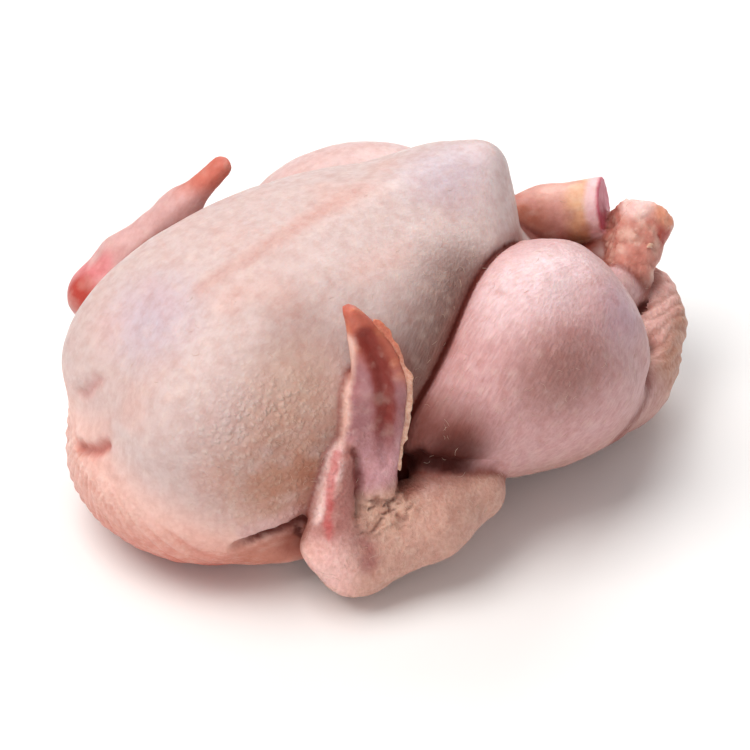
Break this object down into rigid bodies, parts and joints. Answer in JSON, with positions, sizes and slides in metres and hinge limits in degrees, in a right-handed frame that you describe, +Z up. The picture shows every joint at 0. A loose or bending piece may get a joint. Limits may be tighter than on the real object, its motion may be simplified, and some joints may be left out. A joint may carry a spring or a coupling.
{
  "type": "whole raw chicken",
  "caption": "Whole raw chicken, plucked and ready to cook, lying on its back with wings folded and legs tucked.",
  "frame": {"origin": "under the middle of the bird's bounding box, on the surface that it lies on", "axes": "+X from the neck to the tail, +Y to the bird's left side, +Z up from its back to its breast"},
  "size_m": [0.2404, 0.1766, 0.1108],
  "materials": {
    "raw_skin": "moist pale pink chicken skin"
  },
  "bodies": {
    "root": {"chicken": "raw_skin"}
  },
  "joints": []
}
